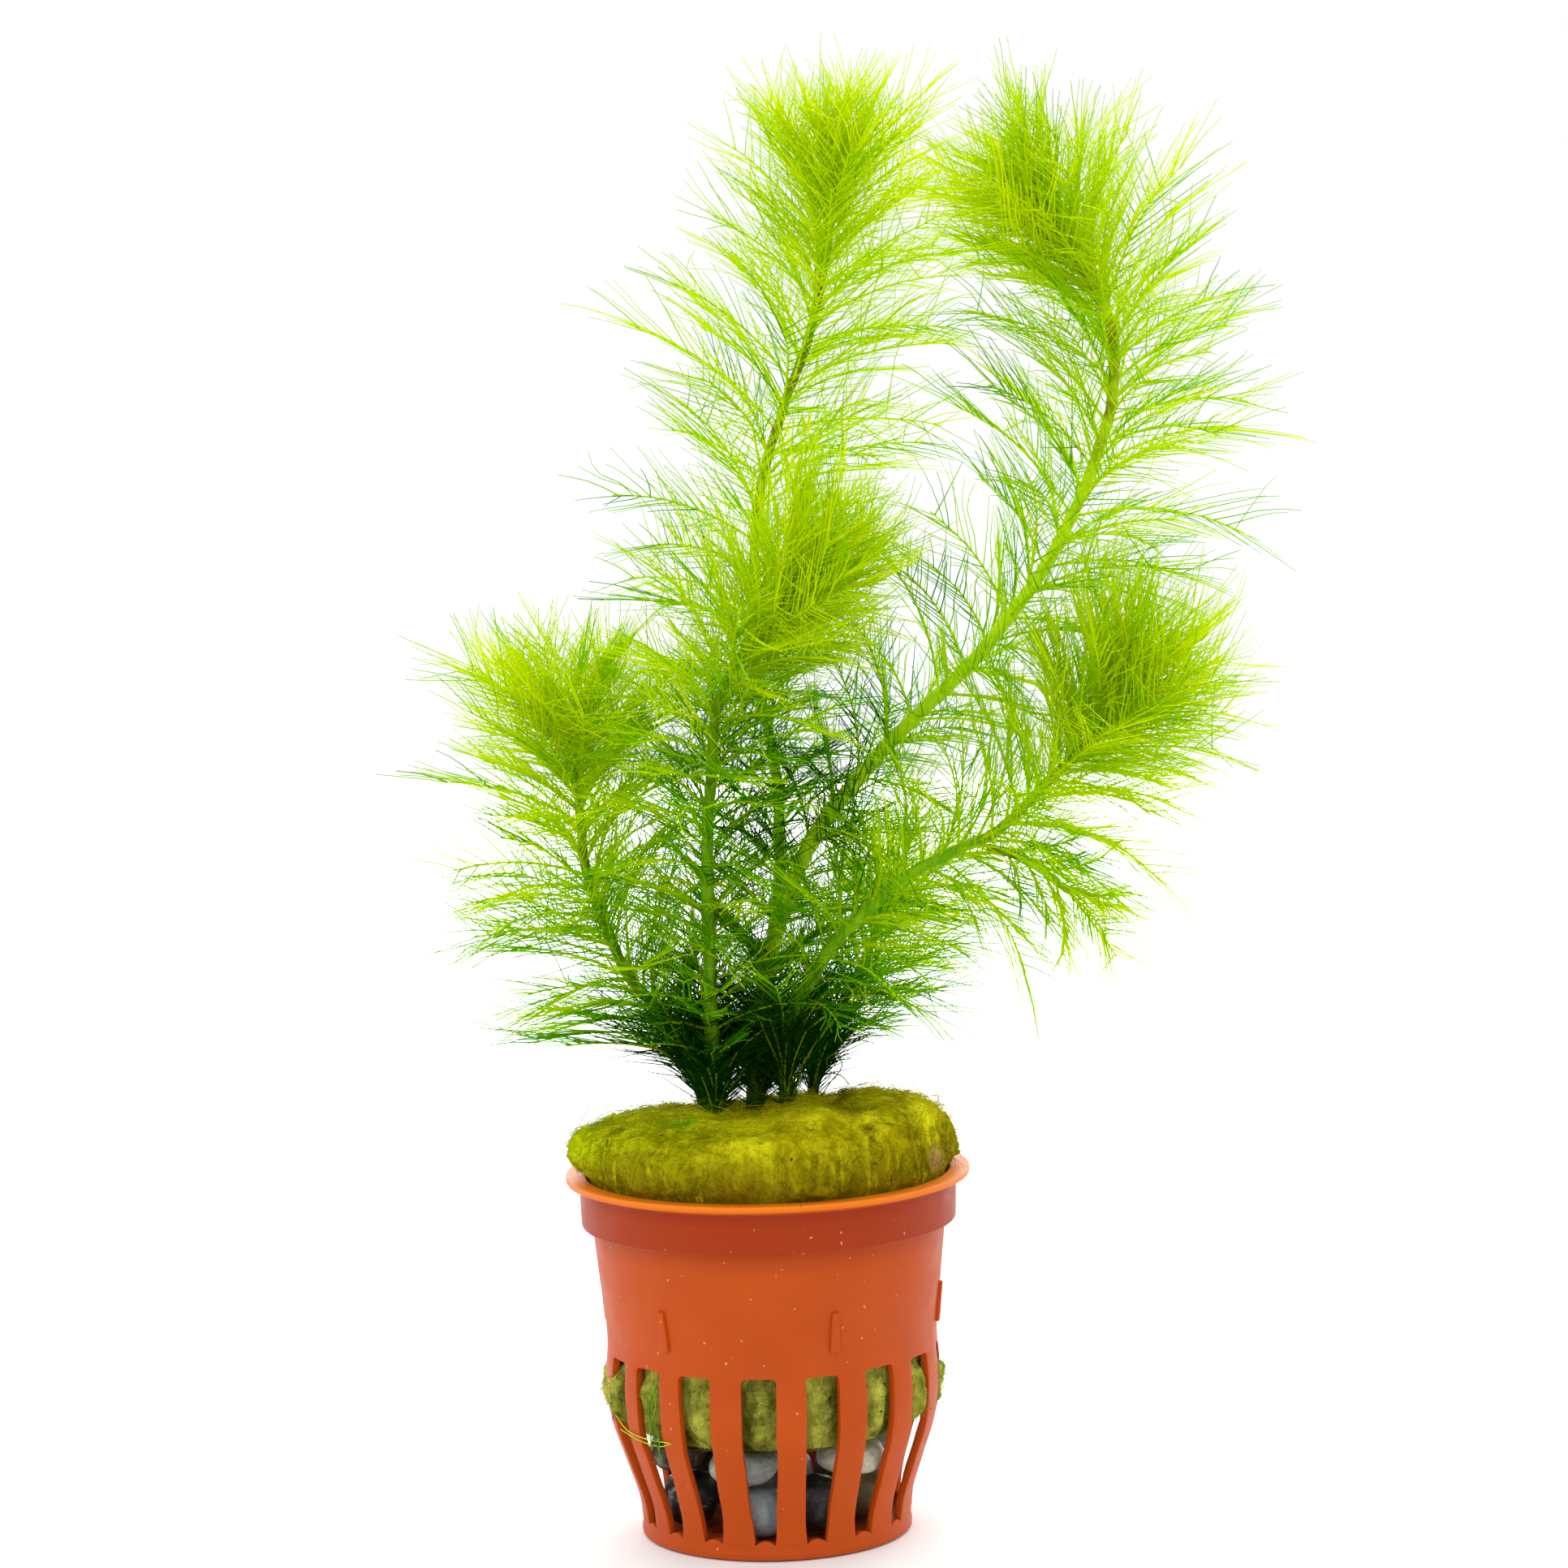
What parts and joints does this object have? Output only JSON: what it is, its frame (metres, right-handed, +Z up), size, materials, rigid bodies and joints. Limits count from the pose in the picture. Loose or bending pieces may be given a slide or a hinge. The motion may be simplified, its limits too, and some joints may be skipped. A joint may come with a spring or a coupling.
{
  "type": "potted aquatic plant",
  "caption": "Feathery green water milfoil shoots standing in a mineral wool plug over pebbles, in a small tapered terracotta-coloured plastic net pot with a slotted lower wall.",
  "frame": {"origin": "centre of the pot's flat underside", "axes": "+Z up along the pot's axis, -Y towards the side seen in the picture, +X to that side's right"},
  "size_m": [0.1132, 0.0747, 0.1871],
  "materials": {
    "pot": "satin",
    "rock_wool": "matte",
    "pebble_blue_grey": "satin",
    "pebble_black": "satin",
    "pebble_olive": "satin",
    "pebble_sand": "satin",
    "pebble_slate": "satin",
    "pebble_dark_brown": "satin",
    "pebble_charcoal": "satin",
    "pebble_middle": "satin",
    "pebble_grey_white": "satin",
    "pebble_pale_yellow": "satin",
    "pebble_grey_green": "satin",
    "pebble_buff": "satin",
    "pebble_dark_grey": "satin",
    "pebble_brown": "satin",
    "tall_shoot": "satin",
    "arching_shoot": "satin",
    "front_shoot": "satin",
    "left_shoot": "satin",
    "right_shoot": "satin",
    "right_side_shoot": "satin",
    "back_shoot": "satin"
  },
  "bodies": {
    "root": {"pot": "pot", "rock_wool": "rock_wool", "pebble_blue_grey": "pebble_blue_grey", "pebble_black": "pebble_black", "pebble_olive": "pebble_olive", "pebble_sand": "pebble_sand", "pebble_slate": "pebble_slate", "pebble_dark_brown": "pebble_dark_brown", "pebble_charcoal": "pebble_charcoal", "pebble_middle": "pebble_middle", "pebble_grey_white": "pebble_grey_white", "pebble_pale_yellow": "pebble_pale_yellow", "pebble_grey_green": "pebble_grey_green", "pebble_buff": "pebble_buff", "pebble_dark_grey": "pebble_dark_grey", "pebble_brown": "pebble_brown", "tall_shoot": "tall_shoot", "arching_shoot": "arching_shoot", "front_shoot": "front_shoot", "left_shoot": "left_shoot", "right_shoot": "right_shoot", "right_side_shoot": "right_side_shoot", "back_shoot": "back_shoot"}
  },
  "joints": []
}
